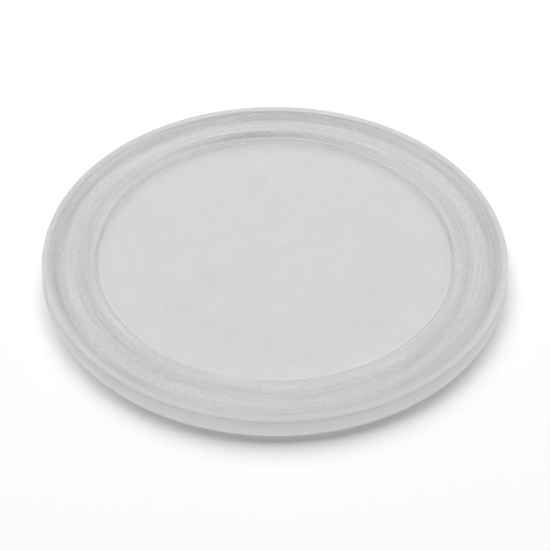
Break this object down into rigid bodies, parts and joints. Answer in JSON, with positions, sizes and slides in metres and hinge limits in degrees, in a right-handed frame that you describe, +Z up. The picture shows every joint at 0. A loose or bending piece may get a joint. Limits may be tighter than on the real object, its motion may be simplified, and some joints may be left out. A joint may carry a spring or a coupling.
{
  "type": "microwave turntable plate",
  "caption": "Flat round turntable plate of pressed glass for a microwave oven, with a sunken middle disc, a broad ring over a roller track, and a rounded lip.",
  "frame": {"origin": "middle of the underside, on the surface that the plate lies on", "axes": "+Z up along the plate's axis of turning, X and Y anywhere across it because the plate is round"},
  "size_m": [0.2448, 0.2448, 0.01],
  "materials": {
    "pressed_glass": "satin"
  },
  "bodies": {
    "root": {"turntable_plate": "pressed_glass"}
  },
  "joints": []
}
